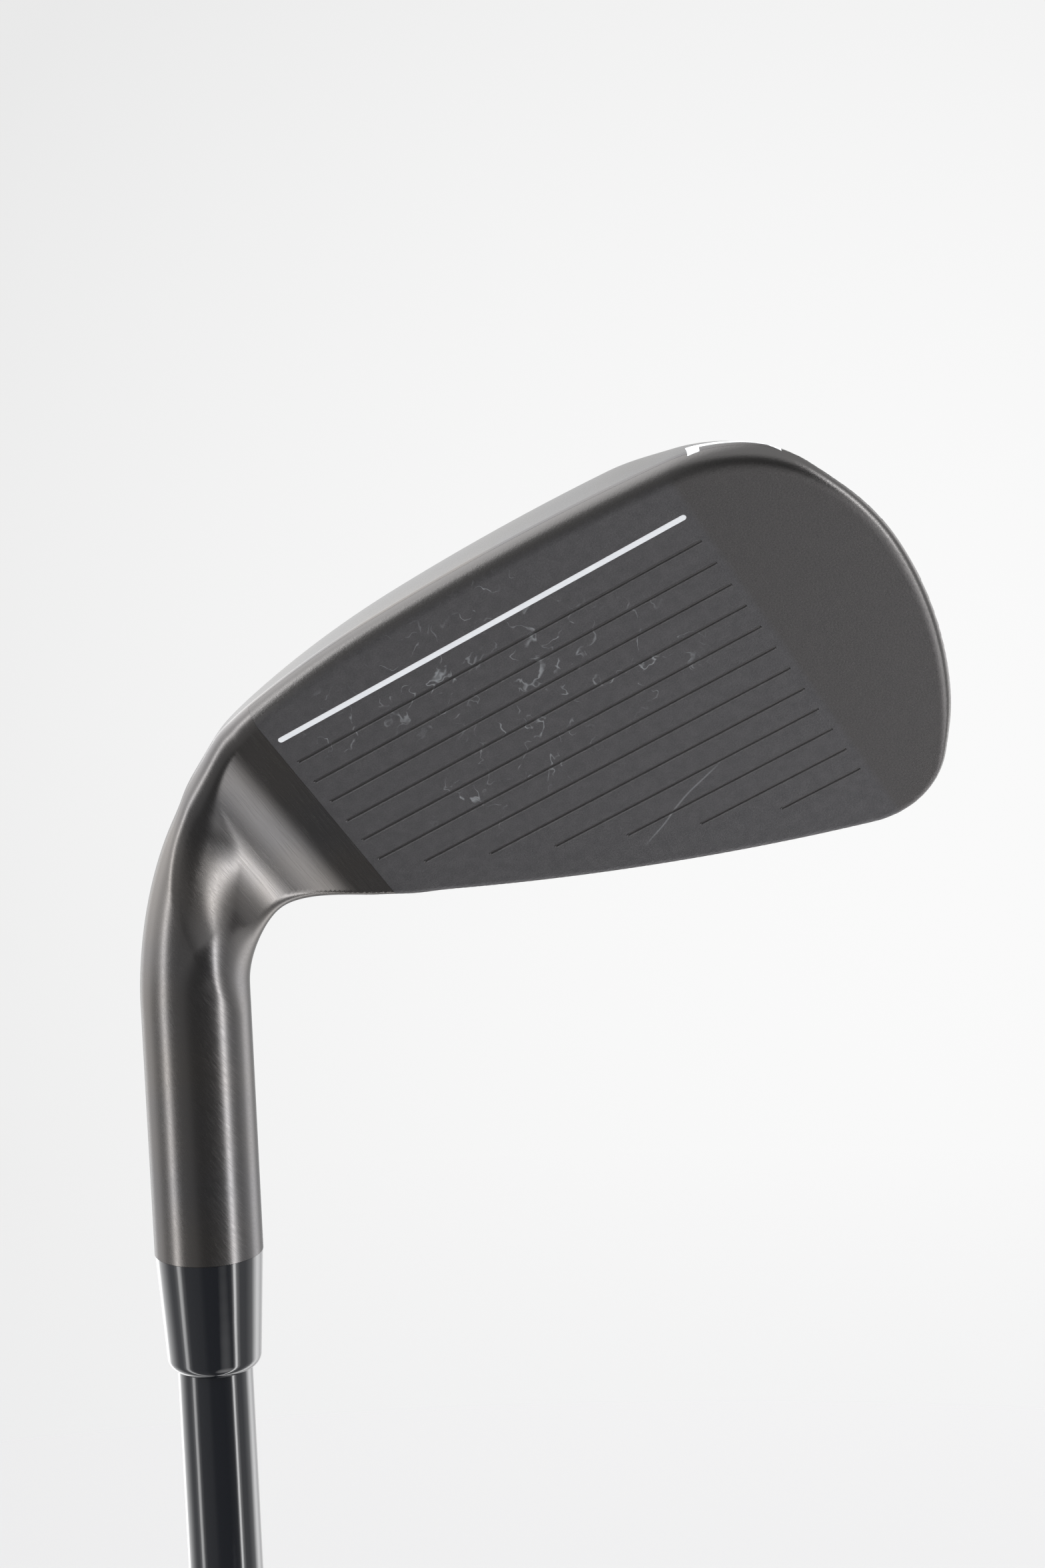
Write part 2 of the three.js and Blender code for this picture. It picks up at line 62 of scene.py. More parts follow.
def make_camera():
    data = bpy.data.cameras.new("camera")
    data.sensor_width = 36
    data.lens = CAMERA_LENS
    camera = bpy.data.objects.new("camera", data)
    turn = Matrix.Rotation(math.radians(CAMERA_AZIMUTH), 4, "Z")
    tilt = Matrix.Rotation(math.radians(90 - CAMERA_ELEVATION), 4, "X")
    roll = Matrix.Rotation(math.radians(CAMERA_ROLL), 4, "Z")
    camera.matrix_world = Matrix.Translation(CAMERA_AT) @ turn @ tilt @ roll
    bpy.context.scene.collection.objects.link(camera)
    bpy.context.scene.camera = camera


# ---- the head's shape, in millimetres, as the CAD has it --------------------------------
# The face's own axes (s, v, d): s from heel to toe along the score lines, v from the leading
# edge to the topline, d into the head, from a point given from the hosel's end
LIE, LOFT = math.radians(62.5), math.radians(29)
FACE_POINT = np.array((13.15, -0.92, 64.2))
TOEWARD = np.array((math.sin(LIE), 0, math.cos(LIE)))
UPFACE = np.array((
    math.cos(LOFT) * math.cos(LIE), math.sin(LOFT), -math.cos(LOFT) * math.sin(LIE)))
INWARD = np.cross(TOEWARD, UPFACE)
FACE_AXES = np.array((TOEWARD, UPFACE, INWARD))
HEAD_LOW, HEAD_HIGH = (-62, -14, -42), (80, 74, 24)    # the head's box along them

# The hosel, and the neck that its round section spreads into between two turns of the bend.
# The neck runs on into the blade by its tail, which is ramped off at the back.
HOSEL_RADIUS, HOSEL_STRAIGHT, HOSEL_BEND = 6.75, 31.8, 33.5
SPREAD_FROM, SPREAD_TO = math.radians(4.3), math.radians(61.2)
NECK_HALF_WIDTH, NECK_HALF_DEPTH, NECK_CORNER, NECK_SHIFT, NECK_BACK = 15.8, 4.5, 3.5, 5, 5.5
TAIL, TAIL_SLOPE, TAIL_RAMP = 4, 2, 9.5
NECK_HEEL_END, NECK_HEEL_BLEND, NECK_BLEND = -15, 4, 3
SWEEP_START, SWEEP_RADIUS = -4.5, 13                   # where the face sweeps up to the neck

# Outline of the flat face: each arc of (radius, last normal in degrees) hands over to the
# next, tangent
OUTLINE_START, OUTLINE_NORMAL = (-27, 12.3), -140
OUTLINE_ARCS = [
    (45.8, -100.6),  # heel
    (125, -92.4),    # leading edge near the heel
    (321, -85.3),    # leading edge
    (17.2, -21.4),   # low toe
    (29.7, 1),       # toe
    (50.2, 34),      # upper toe
    (10, 106.7),     # peak of the toe
    (285, 122),      # topline
]

# Radii of the blade's edges, its walls going back, and the depth of its back
EDGE_TOPLINE, EDGE_TOE, EDGE_LEADING, EDGE_NECK, EDGE_BACK = 0.8, 1.3, 2.3, 4, 1.5
WALL_LEAN, TOE_LEAN, WALL_CAMBER, TOPLINE_SHARE = 0.264, 0.17, 0.0075, 0.2
BACK_UPPER, BACK_SOLE, MUSCLE_SLOPE, BACK_BLEND = 8.5, 19, 0.95, 4

# What is cut out of the head or let into it. Round cutters stand out by OPEN, and the block
# that parts the face cup from the body reaches past the head's edges.
OPEN = 5
CUP_DEPTH, CUP_HEEL, HAIRLINE = 1.8, -1.3, 0.02
CUP_BLOCK_TOE, CUP_BLOCK_REACH = 120, 90
SHELL, CAVITY_HEEL = 1.8, 2
BORE_RADIUS, BORE_DEPTH, BORE_SIDES = 5, 34, 64
LINE_PITCH, LINE_LENGTH, LINE_WIDTH, LINE_WORN, LINE_FULL = 3.45, 56, 0.5, 0.22, 6
LINE_OPEN, LINE_FLOOR_SHARE = 0.5, 0.4
SHORT_LINE_HEELS = [4.6, 12, 19.3, 27.6, 36, 45.4]
WHITE_LINE_V, WHITE_LINE_WIDTH, WHITE_LINE_DEPTH = -0.35, 0.75, 0.3
LINE_PAINT_GAP, LINE_PAINT_FLOOR = 0.02, 0.05          # round and under the white line
PORT_S, PORT_V, PORT_RADIUS, PORT_REACH = 52, 7, 3.7, 5
SCREW_RADIUS, SCREW_SINK, SCREW_LENGTH = 3.4, 0.3, 3.2
SOCKET_RADIUS, SOCKET_DEPTH, SOCKET_SIDES, SOCKET_OPEN = 1.9, 2, 6, 1
DIGIT_AT, DIGIT_RISE, DIGIT_LEAN = (60.1, -6.2, 1.5), math.radians(30), math.radians(26)
DIGIT_HEIGHT, DIGIT_WIDTH, DIGIT_BAR = 10.7, 4.6, 1.4
STEM_WIDTH, STEM_TOP, STEM_FOOT = 1.2, 1.7, 0.1
DIGIT_FLOOR, DIGIT_OUT, DIGIT_GAP = 0.5, 4, 0.03

# The badge: where its recess lies, the depths of its two sides, its sunk field and its ribs
BADGE_INSET, BADGE_HEEL, BADGE_LOW, BADGE_FLOOR, BADGE_OPEN = 5, 8, 18, 7.5, 14
BADGE_GAP, BADGE_FROM, BADGE_TO = 0.15, 8.4, 9.1
BADGE_RIM, BADGE_SUNK = 1.4, 0.35
RIB_PITCH, RIB_MARGIN, RIB_ROOT, RIB_BELOW = 1.5, 1.2, 0.2, 0.05

# Grids that the head's skin and its cavity are drawn on
SKIN_STEP = 0.4
CAVITY_STEP = 1.6


def smoothstep(t):
    c = np.clip(t, 0, 1)
    return c * c * (3 - 2 * c)


def smooth_union(a, b, k):
    h = np.maximum(k - np.abs(a - b), 0) / k
    return np.minimum(a, b) - h * h * h * k / 6


def round_edge(a, b, r):
    """Intersection of two distances with a round edge of radius r."""
    return np.minimum(np.maximum(a, b), -r) + np.hypot(np.maximum(a + r, 0), np.maximum(b + r, 0))


def outline_arcs():
    """(centre, radius, middle angle, half angle) of each arc."""
    arcs = []
    start = math.radians(OUTLINE_NORMAL)
    s, v = OUTLINE_START
    for radius, until in OUTLINE_ARCS:
        end = math.radians(until)
        centre = (s - radius * math.cos(start), v - radius * math.sin(start))
        arcs.append((centre, radius, (start + end) / 2, (end - start) / 2))
        s = centre[0] + radius * math.cos(end)
        v = centre[1] + radius * math.sin(end)
        start = end
    return arcs


ARCS = outline_arcs()


def outline_distance(s, v):
    most = np.full(s.shape, -np.inf)
    for (cs, cv), radius, middle, half in ARCS:
        turn = np.arctan2(v - cv, s - cs) - middle
        off = np.abs((turn + math.pi) % (2 * math.pi) - math.pi)
        reach = np.hypot(s - cs, v - cv) * np.cos(np.maximum(off - half, 0))
        most = np.maximum(most, reach - radius)
    return most


def hosel_distance(p):
    """The hosel: a round bar that bends through the lie angle, while its section spreads and
    twists into the blade's, and runs on inside the blade."""
    x, y, z = p[..., 0], p[..., 1], p[..., 2]
    turn = np.clip(np.arctan2(z - HOSEL_STRAIGHT, HOSEL_BEND - x), 0, LIE)
    cx = HOSEL_BEND * (1 - np.cos(turn))
    cz = HOSEL_STRAIGHT + HOSEL_BEND * np.sin(turn)
    spread = smoothstep((turn - SPREAD_FROM) / (SPREAD_TO - SPREAD_FROM))
    twist = LOFT * spread
    outward = (cx - x) * np.cos(turn) + (z - cz) * np.sin(turn)
    behind = y - NECK_BACK * spread
    across = np.cos(twist) * outward - np.sin(twist) * behind + NECK_SHIFT * spread
    deep = np.sin(twist) * outward + np.cos(twist) * behind
    corner = HOSEL_RADIUS + (NECK_CORNER - HOSEL_RADIUS) * spread
    wide = np.abs(across) - (NECK_HALF_WIDTH - NECK_CORNER) * spread
    thick = np.abs(deep) - (NECK_HALF_DEPTH - NECK_CORNER) * spread
    outside = np.hypot(np.maximum(wide, 0), np.maximum(thick, 0))
    bar = outside + np.minimum(np.maximum(wide, thick), 0) - corner
    past = (x - cx) * TOEWARD[0] + (z - cz) * TOEWARD[2]
    end = np.maximum(past - TAIL, (past + TAIL_SLOPE * deep - TAIL_RAMP) / math.hypot(1, TAIL_SLOPE))
    return np.maximum(bar, np.where(turn >= LIE, end, -TAIL))


def topline_share(s, v):
    """How far a point of the face plane belongs to the topline, not the sole and toe."""
    return smoothstep((v - 10 - 0.4 * s) / 12)


def rim_radius(s, v):
    """Radius of the edge between the flat face and the walls."""
    rim = EDGE_TOE + (EDGE_TOPLINE - EDGE_TOE) * topline_share(s, v)
    leading = (EDGE_LEADING - EDGE_TOE) * smoothstep((6 - v) / 10) * smoothstep((s + 14) / 8)
    return rim + leading


def edge_radius(s, v):
    """The rim's radius, growing where the face sweeps into the hosel."""
    rim = rim_radius(s, v)
    return rim + (EDGE_NECK - rim) * smoothstep((SWEEP_START + 1 - s) / 11)


def blade_distance(s, v, d):
    edge = rim_radius(s, v)
    back = np.maximum(d - edge, 0)
    share = 1 - (1 - TOPLINE_SHARE) * topline_share(s, v)
    lean = WALL_LEAN + TOE_LEAN * smoothstep((s - 48) / 18)
    rise = lean * back + WALL_CAMBER * back * back
    slope = share * (lean + 2 * WALL_CAMBER * back)
    wall = (outline_distance(s, v) - edge + share * rise) / np.hypot(1, slope)
    muscle = (d - BACK_SOLE + MUSCLE_SLOPE * v) / math.hypot(1, MUSCLE_SLOPE)
    behind = smooth_union(d - BACK_UPPER, muscle, BACK_BLEND)
    blade = round_edge(wall, behind, EDGE_BACK)
    return -smooth_union(-blade, s - NECK_HEEL_END, NECK_HEEL_BLEND)


def to_head(f):
    """Face coordinates to the head's own, measured from the hosel's end."""
    return FACE_POINT + f @ FACE_AXES


def head_distance(f):
    """Signed distance to the head's skin from face coordinates; the face is exactly flat."""
    s, v, d = f[..., 0], f[..., 1], f[..., 2]
    front = round_edge(SWEEP_START - SWEEP_RADIUS - s, d, SWEEP_RADIUS)
    body = smooth_union(hosel_distance(to_head(f)), blade_distance(s, v, d), NECK_BLEND)
    return round_edge(body, -front, edge_radius(s, v))


def cut_head_distance(f):
    """The head with its hosel carried 3 mm past its end, to be cut off square."""
    return np.maximum(head_distance(f), -3 - to_head(f)[..., 2])


def cavity_distance(f):
    return np.maximum(head_distance(f) + SHELL, CAVITY_HEEL - f[..., 0])


# ---- meshes from formulas ---------------------------------------------------------------
def slope_of(distance, f):
    """The distance's gradient at each point, by small steps."""
    small = 0.01
    steps = [distance(f + small * axis) - distance(f - small * axis) for axis in np.eye(3)]
    return np.stack(steps, -1) / (2 * small)


COARSE = 4                # grid steps to a block of the first, coarse pass
MOST_AT_ONCE = 400_000    # grid points worked out together
SETTLING_STEPS = 6        # moves of each point toward the skin


def skin(distance, low, high, step):
    """Points and quads of the skin where distance is 0: one point in each grid cube it
    crosses, moved on to the skin. Only the grid's part near the skin is worked out finely."""
    block = step * COARSE
    blocks = [math.ceil((b - a) / block) for a, b in zip(low, high)]
    coarse_axes = [a + block * (np.arange(n) + 0.5) for a, n in zip(low, blocks)]
    value = distance(np.stack(np.meshgrid(*coarse_axes, indexing="ij"), -1))
    for axis in range(3):
        value = np.repeat(value, COARSE, axis)
    index = np.argwhere(np.abs(value) < 2 * block)
    for part in np.array_split(index, max(1, len(index) // MOST_AT_ONCE)):
        value[tuple(part.T)] = distance(np.array(low) + step * part)

    inside = value < 0
    nx, ny, nz = (n - 1 for n in value.shape)
    corners = sum(inside[i:i + nx, j:j + ny, k:k + nz].astype(np.int8)
                  for i in (0, 1) for j in (0, 1) for k in (0, 1))
    mixed = (corners > 0) & (corners < 8)
    ids = np.full(corners.shape, -1)
    ids[mixed] = np.arange(mixed.sum())
    points = np.array(low) + step * (np.argwhere(mixed) + 0.5)
    for _ in range(SETTLING_STEPS):
        slope = slope_of(distance, points)
        length = np.maximum((slope ** 2).sum(-1), 0.2)
        points = points - slope * (distance(points) / length)[:, None]

    quads = []
    for axis in range(3):
        order = (axis, (axis + 1) % 3, (axis + 2) % 3)
        near = inside.transpose(order)
        cells = ids.transpose(order)
        here = near[:-1, 1:-1, 1:-1]
        cross = here != near[1:, 1:-1, 1:-1]
        ring = np.stack([cells[:, :-1, :-1][cross], cells[:, 1:, :-1][cross],
                         cells[:, 1:, 1:][cross], cells[:, :-1, 1:][cross]], -1)
        out = ~here[cross]
        ring[out] = ring[out][:, ::-1]
        quads.append(ring)
    return points, np.concatenate(quads)


def new_object(name, mesh):
    piece = bpy.data.objects.new(name, mesh)
    bpy.context.scene.collection.objects.link(piece)
    return piece


def mesh_object(name, points, faces):
    """An object from points in metres, in the row frame, and faces of any sizes."""
    mesh = bpy.data.meshes.new(name)
    faces = [list(face) for face in faces]
    mesh.from_pydata(np.asarray(points).tolist(), [], faces)
    mesh.update()
    return new_object(name, mesh)


def from_face(points):
    """Face coordinates in millimetres to the row frame in metres."""
    head = to_head(np.asarray(points, float))
    return (head + (0, 0, HOSEL_END)) * MM


def prism(outline, low, high):
    """Points and faces of a closed prism between two levels of an outline [(x, y), ...]."""
    n = len(outline)
    points = [(x, y, low) for x, y in outline] + [(x, y, high) for x, y in outline]
    faces = [list(range(n))[::-1], list(range(n, 2 * n))]
    faces += [[i, (i + 1) % n, n + (i + 1) % n, n + i] for i in range(n)]
    return points, faces


def face_prism(name, outline, low, high):
    """A prism drawn on the face plane, its levels measured into the head."""
    points, faces = prism(outline, low, high)
    return mesh_object(name, from_face(points), faces)


def circle(x, y, radius, sides):
    angles = [2 * math.pi * i / sides for i in range(sides)]
    return [(x + radius * math.cos(a), y + radius * math.sin(a)) for a in angles]


def box_outline(x0, y0, x1, y1):
    return [(x0, y0), (x1, y0), (x1, y1), (x0, y1)]


def stadium(heel, toe, v, radius, sides=8):
    """A slot's outline from its heel end's centre to its toe end's."""
    toe_end = [(toe + radius * math.sin(a), v - radius * math.cos(a))
               for a in np.linspace(0, math.pi, sides)]
    heel_end = [(heel - radius * math.sin(a), v + radius * math.cos(a))
                for a in np.linspace(0, math.pi, sides)]
    return toe_end + heel_end


def score_cutter(name, heel, toe, v, width):
    """A score line's worn slot: shallow, and wider at the face than at its floor."""
    half = width / 2
    rims = [(half, -LINE_OPEN), (half, 0), (LINE_FLOOR_SHARE * half, LINE_WORN)]
    rings = [[(s, w, d) for s, w in stadium(heel, toe, v, radius)] for radius, d in rims]
    n = len(rings[0])
    points = [point for ring in rings for point in ring]
    faces = [list(range(n))[::-1], list(range(2 * n, 3 * n))]
    for level in range(2):
        base = level * n
        faces += [[base + i, base + (i + 1) % n, base + n + (i + 1) % n, base + n + i]
                  for i in range(n)]
    return mesh_object(name, from_face(points), faces)


def apply_modifiers(piece):
    evaluated = piece.evaluated_get(bpy.context.evaluated_depsgraph_get())
    mesh = bpy.data.meshes.new_from_object(evaluated)
    piece.modifiers.clear()
    piece.data = mesh


def boolean(piece, operation, *others):
    """Cuts, joins or intersects piece with the others, which are used up."""
    for other in others:
        modifier = piece.modifiers.new("cut", "BOOLEAN")
        modifier.operation = operation
        modifier.solver = "MANIFOLD"
        modifier.object = other
    bpy.context.view_layer.update()
    apply_modifiers(piece)
    for other in others:
        bpy.data.objects.remove(other)
    return piece


def copy_of(piece, name):
    return new_object(name, piece.data.copy())


ON_SKIN = 0.02     # mm a point may lie off the skin and still take its slope
SAME_WAY = 0.75    # cosine between a face and the skin's slope, above which it is skin


def skin_normals(piece):
    """Shades the head's skin by its formula's slope, and leaves every cut face flat."""
    mesh = piece.data
    count, loops = len(mesh.vertices), len(mesh.loops)
    points = np.empty(count * 3)
    mesh.vertices.foreach_get("co", points)
    head = points.reshape(-1, 3) / MM - (0, 0, HOSEL_END)
    face = (head - FACE_POINT) @ FACE_AXES.T
    slope = slope_of(head_distance, face)
    slope /= np.linalg.norm(slope, axis=1)[:, None] + 1e-9
    on_skin = np.abs(head_distance(face)) < ON_SKIN
    smooth = slope @ FACE_AXES
    corner = np.empty(loops, int)
    mesh.loops.foreach_get("vertex_index", corner)
    sizes = np.empty(len(mesh.polygons), int)
    mesh.polygons.foreach_get("loop_total", sizes)
    flat = np.empty(len(mesh.polygons) * 3)
    mesh.polygons.foreach_get("normal", flat)
    flat = np.repeat(flat.reshape(-1, 3), sizes, 0)
    fits = on_skin[corner] & ((smooth[corner] * flat).sum(-1) > SAME_WAY)
    mesh.polygons.foreach_set("use_smooth", [True] * len(mesh.polygons))
    mesh.normals_split_custom_set(np.where(fits[:, None], smooth[corner], flat).tolist())


def turned(name, profiles, sharp=35):
    """A closed ring about the shaft from one closed profile of (radius, z) in mm per side,
    each turned a step further round than the one before."""
    sides, n = len(profiles), len(profiles[0])
    points, faces = [], []
    for i, profile in enumerate(profiles):
        angle = 2 * math.pi * i / sides
        points += [(r * math.cos(angle) * MM, r * math.sin(angle) * MM, z * MM) for r, z in profile]
    for i in range(sides):
        here, there = i * n, (i + 1) % sides * n
        faces += [[here + j, there + j, there + (j + 1) % n, here + (j + 1) % n]
                  for j in range(n)]
    piece = mesh_object(name, points, faces)
    piece.data.polygons.foreach_set("use_smooth", [True] * len(faces))
    piece.data.set_sharp_from_angle(angle=math.radians(sharp))
    return piece


def stands_for(piece, node, material):
    """piece replaces a CAD node, rides with the club and wears a material."""
    piece.data.materials.clear()
    piece.data.materials.append(material)
    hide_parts(node)
    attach(piece, ROOT)


# ---- materials ------------------------------------------------------------------------
class Nodes:
    """A few short ways to add and link the nodes of a material or a world."""

    def __init__(self, owner):
        owner.use_nodes = True
        self.nodes = owner.node_tree.nodes
        self.links = owner.node_tree.links

    def add(self, kind, inputs=(), **settings):
        """A node with settings, and inputs {name or index: socket or value}."""
        node = self.nodes.new(kind)
        for name, value in settings.items():
            setattr(node, name, value)
        for name, value in dict(inputs).items():
            if isinstance(value, bpy.types.NodeSocket):
                self.links.new(value, node.inputs[name])
            else:
                node.inputs[name].default_value = value
        return node

    def math(self, operation, a, b=0.0, clamp=False):
        node = self.add("ShaderNodeMath", {0: a, 1: b}, operation=operation, use_clamp=clamp)
        return node.outputs[0]

    def vector(self, x, y, z):
        return self.add("ShaderNodeCombineXYZ", {0: x, 1: y, 2: z}).outputs[0]

    def blend(self, share, a, b):
        """Colours mixed by a share from 0 to 1."""
        inputs = {"Factor": share, 6: a, 7: b}
        return self.add("ShaderNodeMix", inputs, data_type="RGBA").outputs[2]

    def between(self, value, low, high, to_low=0.0, to_high=1.0):
        """value taken from low..high to to_low..to_high, clamped."""
        inputs = {"Value": value, "From Min": low, "From Max": high,
                  "To Min": to_low, "To Max": to_high}
        return self.add("ShaderNodeMapRange", inputs, clamp=True).outputs["Result"]

    def ramp(self, value, stops):
        """Grey level of a value from 0 to 1, straight between stops of (value, level)."""
        node = self.add("ShaderNodeValToRGB", {0: value})
        elements = node.color_ramp.elements
        while len(elements) < len(stops):
            elements.new(1.0)
        for element, (position, level) in zip(elements, stops):
            element.position = position
            element.color = (level, level, level, 1)
        return node.outputs[0]


class Look(Nodes):
    """A material with its Principled shader's values set."""

    def __init__(self, name, **values):
        self.material = bpy.data.materials.new(name)
        super().__init__(self.material)
        self.shader = self.nodes["Principled BSDF"]
        self.place = self.add("ShaderNodeTexCoord").outputs["Object"]
        for name, value in values.items():
            self.shader.inputs[name].default_value = value

    def along(self, axis, origin=(0, 0, 0)):
        """Distance in metres along a unit vector from a point."""
        offset = self.add("ShaderNodeVectorMath", {0: self.place, 1: origin},
                          operation="SUBTRACT").outputs[0]
        return self.add("ShaderNodeVectorMath", {0: offset, 1: tuple(axis)},
                        operation="DOT_PRODUCT").outputs["Value"]

    def noise(self, scale, detail=2.0, roughness=0.5, where=None):
        inputs = {"Vector": where or self.place, "Scale": scale, "Detail": detail,
                  "Roughness": roughness}
        return self.add("ShaderNodeTexNoise", inputs).outputs["Fac"]

    def bump(self, height, distance, strength=1.0):
        inputs = {"Height": height, "Distance": distance, "Strength": strength}
        node = self.add("ShaderNodeBump", inputs)
        self.links.new(node.outputs[0], self.shader.inputs["Normal"])

    def wire(self, name, value):
        self.links.new(value, self.shader.inputs[name])


FACE_ORIGIN = tuple(from_face((0, 0, 0)))


def face_vector(look, stretch=(1, 1, 1)):
    """The face coordinates in millimetres as a vector, each axis divided by its stretch."""
    parts = [look.math("DIVIDE", look.along(axis, FACE_ORIGIN), MM * by)
             for axis, by in zip(FACE_AXES, stretch)]
    return look.vector(*parts)


HOSEL_SHEEN, BLADE_SHEEN = -14, -4    # mm along the face: where one sheen gives way to the other


def black_steel():
    """Satin black plated steel with a fine brushed grain, its sheen duller on the hosel."""
    look = Look("black_steel", **{"Metallic": 1.0})
    blade = look.between(look.along(TOEWARD, FACE_ORIGIN), HOSEL_SHEEN * MM, BLADE_SHEEN * MM)
    look.wire("Specular Tint", look.blend(blade, (0.5, 0.5, 0.5, 1), (0.85, 0.85, 0.85, 1)))
    grain = look.noise(1.0, 3, 0.65, face_vector(look, (0.14, 5, 0.3)))
    cloud = look.noise(70, 2)
    look.wire("Base Color", look.blend(look.between(cloud, 0.35, 0.65),
                                       (0.098, 0.096, 0.098, 1), (0.108, 0.102, 0.098, 1)))
    look.wire("Roughness", look.between(grain, 0.3, 0.7, 0.2, 0.3))
    look.bump(grain, 0.0025 * MM)
    return look.material


BLAST_TOE, BLAST_FADE = 57.2, 0.4   # mm: the blasted zone ends past the lines' toe ends
# Where balls have marked the face: s, v and reach in mm; and a scratch's two ends
SCUFFED = [(19, 2, 9), (25, 16, 9), (34, 8, 9), (42, 13, 9), (8, 2, 6), (14, 20, 6), (31, -2, 6)]
SCRATCH = ((28, 37), (43, 31))
SCUFF_WARP = (6.0, -4.0)            # mm that the marks' veins are drawn aside
SCUFF_THIN, SCUFF_STRENGTH = 0.011, 0.55
SCRATCH_CORE, SCRATCH_EDGE, SCRATCH_FADE = 0.03, 0.15, 3    # mm across it, and at its ends
SCRATCH_BEND, SCRATCH_STRENGTH = 2.0, 0.25


def blasted_face():
    """Blasted charcoal steel with pale scuffs, a smoother toe past the blast's edge, and a
    satin rim where the face rounds over."""
    look = Look("blasted_face", **{"Metallic": 1.0, "Specular Tint": (0.6, 0.6, 0.6, 1)})
    face = face_vector(look)
    rim = look.between(look.along(INWARD, FACE_ORIGIN), 0.04 * MM, 0.3 * MM)
    toe = look.between(look.along(TOEWARD, FACE_ORIGIN),
                       (BLAST_TOE - BLAST_FADE) * MM, (BLAST_TOE + BLAST_FADE) * MM)
    grit = look.noise(3.5, 4, 0.75, face)
    mottle = look.noise(0.7, 3, 0.6, face)
    blasted = look.blend(look.between(mottle, 0.35, 0.65),
                         (0.086, 0.0845, 0.0885, 1), (0.098, 0.096, 0.1, 1))
    satin = look.blend(mottle, (0.08, 0.077, 0.078, 1), (0.09, 0.0865, 0.0865, 1))
    scuffed = scuffs(look, face)
    colour = look.blend(toe, blasted, satin)
    worn = look.math("MULTIPLY", scuffed, look.math("SUBTRACT", 1.0, toe))
    speckle = look.between(look.noise(6.0, 2, 0.6, face), 0.3, 0.7, 0.86, 1.14)
    grainy = look.add("ShaderNodeVectorMath", {0: colour, "Scale": speckle}, operation="SCALE")
    flat = look.blend(worn, grainy.outputs[0], (0.42, 0.44, 0.46, 1))
    look.wire("Base Color", look.blend(rim, flat, (0.105, 0.102, 0.101, 1)))
    rough = look.math("SUBTRACT", look.between(grit, 0.3, 0.7, 0.46, 0.56),
                      look.math("MULTIPLY", toe, 0.03))
    look.wire("Roughness", look.math("SUBTRACT", rough, look.math("MULTIPLY", rim, 0.26)))
    look.bump(grit, 0.02 * MM)
    return look.material


def near(look, face, s, v, reach):
    """1 at a point of the face, falling to 0 at a reach in millimetres."""
    far = look.add("ShaderNodeVectorMath", {0: face, 1: (s, v, 0)}, operation="DISTANCE")
    return look.between(far.outputs["Value"], 0.0, reach, 1.0, 0.0)


def scuffs(look, face):
    """Pale ball marks: broken veins of a warped noise, in patches low on the face, and one
    long scratch above them."""
    warp = look.noise(0.35, 2, 0.5, face)
    along, across = (look.math("MULTIPLY", warp, reach) for reach in SCUFF_WARP)
    shift = look.vector(along, across, 0.0)
    shifted = look.add("ShaderNodeVectorMath", {0: face, 1: shift}, operation="ADD")
    veins = look.noise(0.17, 2.5, 0.5, shifted.outputs[0])
    off = look.math("ABSOLUTE", look.math("SUBTRACT", veins, 0.5))
    thin = look.math("SUBTRACT", 1.0, look.between(off, 0.0, SCUFF_THIN))
    broken = look.between(look.noise(0.5, 2, 0.5, face), 0.45, 0.6)
    patch = near(look, face, *SCUFFED[0])
    for place in SCUFFED[1:]:
        patch = look.math("MAXIMUM", patch, near(look, face, *place))
    marks = look.math("MULTIPLY", look.math("MULTIPLY", thin, broken),
                      look.between(patch, 0.0, 0.5))
    return look.math("MAXIMUM", look.math("MULTIPLY", marks, SCUFF_STRENGTH), scratch(look, face))


def scratch(look, face):
    """A thin, slightly bent scratch that fades at both ends."""
    s, v, _ = look.add("ShaderNodeSeparateXYZ", {0: face}).outputs
    (s0, v0), (s1, v1) = SCRATCH
    length = math.hypot(s1 - s0, v1 - v0)
    along = ((s1 - s0) / length, (v1 - v0) / length)
    across = (-along[1], along[0])
    bend = look.math("MULTIPLY", look.noise(0.1, 1, 0.5, face), SCRATCH_BEND)

    def run(axis):
        """Distance in millimetres along an axis from the scratch's first end."""
        offset = -(s0 * axis[0] + v0 * axis[1])
        whole = look.math("ADD", look.math("MULTIPLY", s, axis[0]), look.math("MULTIPLY", v, axis[1]))
        return look.math("ADD", whole, offset)

    bent = look.math("ADD", run(across), bend)
    off = look.math("ABSOLUTE", look.math("SUBTRACT", bent, SCRATCH_BEND / 2))
    line = look.between(off, SCRATCH_CORE, SCRATCH_EDGE, SCRATCH_STRENGTH, 0.0)
    middle = look.math("ABSOLUTE", look.math("SUBTRACT", run(along), length / 2))
    ends = look.between(middle, length / 2 - SCRATCH_FADE, length / 2, 1.0, 0.0)
    return look.math("MULTIPLY", line, ends)


def white_paint():
    look = Look("white_paint", **{"Roughness": 0.4, "Base Color": (0.8, 0.82, 0.85, 1)})
    patches = look.noise(500, 2)
    look.wire("Base Color", look.blend(patches, (0.74, 0.76, 0.8, 1), (0.84, 0.86, 0.88, 1)))
    return look.material


def gloss_black(name):
    """Polished black with the faint waves of a lacquered tube."""
    look = Look(name, **{"Roughness": 0.05, "Base Color": (0.006, 0.007, 0.01, 1)})
    waves = look.noise(150, 2)
    specks = look.noise(2600, 2)
    look.wire("Roughness", look.between(specks, 0.4, 0.8, 0.04, 0.1))
    look.bump(waves, 0.02 * MM)
    return look.material


